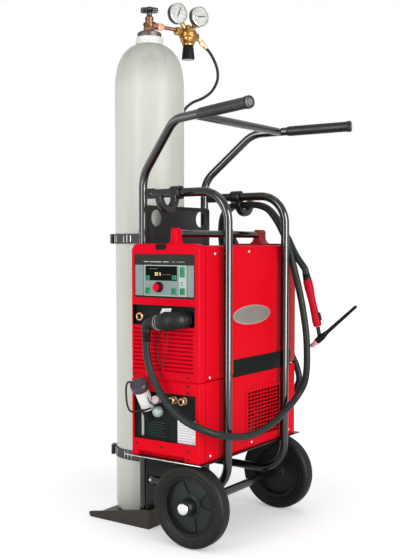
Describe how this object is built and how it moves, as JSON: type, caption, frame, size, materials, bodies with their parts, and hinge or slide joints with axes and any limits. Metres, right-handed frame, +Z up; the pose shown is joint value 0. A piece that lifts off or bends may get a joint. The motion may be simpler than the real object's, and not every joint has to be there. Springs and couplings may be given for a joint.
{
  "type": "welding set on a trolley",
  "caption": "Inverter welding power source on a water cooler, strapped to a two-wheeled trolley with a shielding-gas cylinder, regulator, torch and coiled hose pack.",
  "frame": {"origin": "on the floor under the gas cylinder's axis, on the underside of the shoe it stands on", "axes": "+Z up; -Y the side of the set with its control panel; +X the side of the push handles and wheels, away from the cylinder"},
  "size_m": [0.7704, 0.695, 1.7048],
  "materials": {
    "frame_paint": "gloss black stove enamel",
    "grip_rubber": "satin",
    "axle_chrome": "bright",
    "tyre_rubber": "matt grey-black",
    "rim_plastic": "dark grey moulded",
    "strap_webbing": "woven black",
    "black_plastic": "satin black",
    "cylinder_paint": "satin pale grey-green",
    "valve_brass": "tarnished",
    "gauge_case": "black with a white dial",
    "needle_paint": "black",
    "hose_rubber": "satin",
    "red_paint": "satin red",
    "red_plastic": "satin red",
    "panel_plastic": "dark grey film",
    "button_plastic": "green",
    "white_plastic": "white",
    "boot_rubber": "satin",
    "nozzle_ceramic": "pink fired ceramic"
  },
  "bodies": {
    "trolley": {"base_shoe": "frame_paint", "post_front": "frame_paint", "post_rear": "frame_paint", "hoop_front": "frame_paint", "hoop_rear": "frame_paint", "handle_crossbar": "frame_paint", "grip_front": "grip_rubber", "grip_rear": "grip_rubber", "back_plate": "frame_paint", "tray": "frame_paint", "axle_tube": "frame_paint", "axle_rod": "axle_chrome", "strap_upper": "strap_webbing", "strap_lower": "strap_webbing", "hanger_front": "black_plastic", "hanger_rear": "black_plastic", "gas_cylinder": "cylinder_paint", "valve_body": "valve_brass", "regulator_body": "valve_brass", "gauge_cylinder": "gauge_case", "gauge_outlet": "gauge_case", "gas_hose": "hose_rubber", "case_cover": "red_paint", "front_bezel": "red_plastic", "rear_bezel": "red_plastic", "control_panel": "panel_plastic", "top_handle": "black_plastic", "connector_panel": "black_plastic", "cooler_case": "red_paint", "cooler_front": "red_plastic", "cooler_panel": "panel_plastic", "filler_neck": "white_plastic", "cooler_grille": "red_paint", "torch_plug": "boot_rubber", "hose_pack": "hose_rubber", "torch_handle": "red_plastic", "torch_head": "black_plastic", "nozzle": "nozzle_ceramic"},
    "wheel_front": {"tyre_front": "tyre_rubber", "rim_front": "rim_plastic"},
    "wheel_rear": {"tyre_rear": "tyre_rubber", "rim_rear": "rim_plastic"},
    "lever_upper": {"buckle_upper": "black_plastic"},
    "lever_lower": {"buckle_lower": "black_plastic"},
    "handwheel": {"valve_handwheel": "black_plastic"},
    "pointer_cylinder": {"needle_cylinder": "needle_paint"},
    "pointer_outlet": {"needle_outlet": "needle_paint"},
    "pressure_knob": {"regulator_knob": "black_plastic"},
    "setting_knob": {"control_knob": "red_plastic"},
    "key_left_upper": {"button_left_upper": "button_plastic"},
    "key_right_upper": {"button_right_upper": "button_plastic"},
    "key_left_lower": {"button_left_lower": "button_plastic"},
    "key_right_lower": {"button_right_lower": "button_plastic"},
    "key_column_top": {"button_column_top": "button_plastic"},
    "key_column_middle": {"button_column_middle": "button_plastic"},
    "key_column_bottom": {"button_column_bottom": "button_plastic"},
    "power_switch": {"mains_switch": "black_plastic"},
    "cap": {"filler_cap": "black_plastic"},
    "fan": {"cooler_fan": "black_plastic"},
    "trigger": {"torch_trigger": "black_plastic"}
  },
  "joints": [
    {"name": "wheel_front_spin", "type": "hinge", "parent": "trolley", "child": "wheel_front", "pos_m": [0.35, -0.2526, 0.125], "axis": [0, 1, 0], "continuous": true},
    {"name": "wheel_rear_spin", "type": "hinge", "parent": "trolley", "child": "wheel_rear", "pos_m": [0.35, 0.2526, 0.125], "axis": [0, 1, 0], "continuous": true},
    {"name": "lever_upper_swing", "type": "hinge", "parent": "trolley", "child": "lever_upper", "pos_m": [-0.1082, -0.0599, 0.911], "axis": [0, 0, -1], "range_deg": [0, 120]},
    {"name": "lever_lower_swing", "type": "hinge", "parent": "trolley", "child": "lever_lower", "pos_m": [-0.1082, -0.0599, 0.202], "axis": [0, 0, -1], "range_deg": [0, 120]},
    {"name": "handwheel_turn", "type": "hinge", "parent": "trolley", "child": "handwheel", "pos_m": [0, 0, 1.659], "axis": [0, 0, 1], "range_deg": [0, 630]},
    {"name": "pointer_cylinder_swing", "type": "hinge", "parent": "trolley", "child": "pointer_cylinder", "pos_m": [0.03653, 0.10609, 1.6688], "axis": [0.9455, -0.3256, 0], "range_deg": [-113, 155]},
    {"name": "pointer_outlet_swing", "type": "hinge", "parent": "trolley", "child": "pointer_outlet", "pos_m": [0.06547, 0.19014, 1.6708], "axis": [0.9455, -0.3256, 0], "range_deg": [-55, 215]},
    {"name": "pressure_knob_turn", "type": "hinge", "parent": "trolley", "child": "pressure_knob", "pos_m": [0.05111, 0.14845, 1.545], "axis": [0, 0, 1], "range_deg": [0, 1080]},
    {"name": "setting_knob_turn", "type": "hinge", "parent": "trolley", "child": "setting_knob", "pos_m": [0.253, -0.28, 0.768], "axis": [0, -1, 0], "continuous": true},
    {"name": "key_left_upper_press", "type": "slide", "parent": "trolley", "child": "key_left_upper", "axis": [0, 1, 0], "range_m": [0, 0.0015], "stiffness_N_per_m": 600},
    {"name": "key_right_upper_press", "type": "slide", "parent": "trolley", "child": "key_right_upper", "axis": [0, 1, 0], "range_m": [0, 0.0015], "stiffness_N_per_m": 600},
    {"name": "key_left_lower_press", "type": "slide", "parent": "trolley", "child": "key_left_lower", "axis": [0, 1, 0], "range_m": [0, 0.0015], "stiffness_N_per_m": 600},
    {"name": "key_right_lower_press", "type": "slide", "parent": "trolley", "child": "key_right_lower", "axis": [0, 1, 0], "range_m": [0, 0.0015], "stiffness_N_per_m": 600},
    {"name": "key_column_top_press", "type": "slide", "parent": "trolley", "child": "key_column_top", "axis": [0, 1, 0], "range_m": [0, 0.0015], "stiffness_N_per_m": 600},
    {"name": "key_column_middle_press", "type": "slide", "parent": "trolley", "child": "key_column_middle", "axis": [0, 1, 0], "range_m": [0, 0.0015], "stiffness_N_per_m": 600},
    {"name": "key_column_bottom_press", "type": "slide", "parent": "trolley", "child": "key_column_bottom", "axis": [0, 1, 0], "range_m": [0, 0.0015], "stiffness_N_per_m": 600},
    {"name": "power_switch_turn", "type": "hinge", "parent": "trolley", "child": "power_switch", "pos_m": [0.273, 0.285, 0.64], "axis": [0, 1, 0], "range_deg": [0, 90]},
    {"name": "cap_turn", "type": "hinge", "parent": "trolley", "child": "cap", "pos_m": [0.2121, -0.323, 0.4785], "axis": [0.0575, -0.5556, 0.8295], "range_deg": [0, 720]},
    {"name": "fan_spin", "type": "hinge", "parent": "trolley", "child": "fan", "pos_m": [0.36, 0.077, 0.36], "axis": [1, 0, 0], "continuous": true},
    {"name": "trigger_press", "type": "slide", "parent": "trolley", "child": "trigger", "axis": [-0.9677, 0, -0.2522], "range_m": [0, 0.002], "stiffness_N_per_m": 1500}
  ]
}
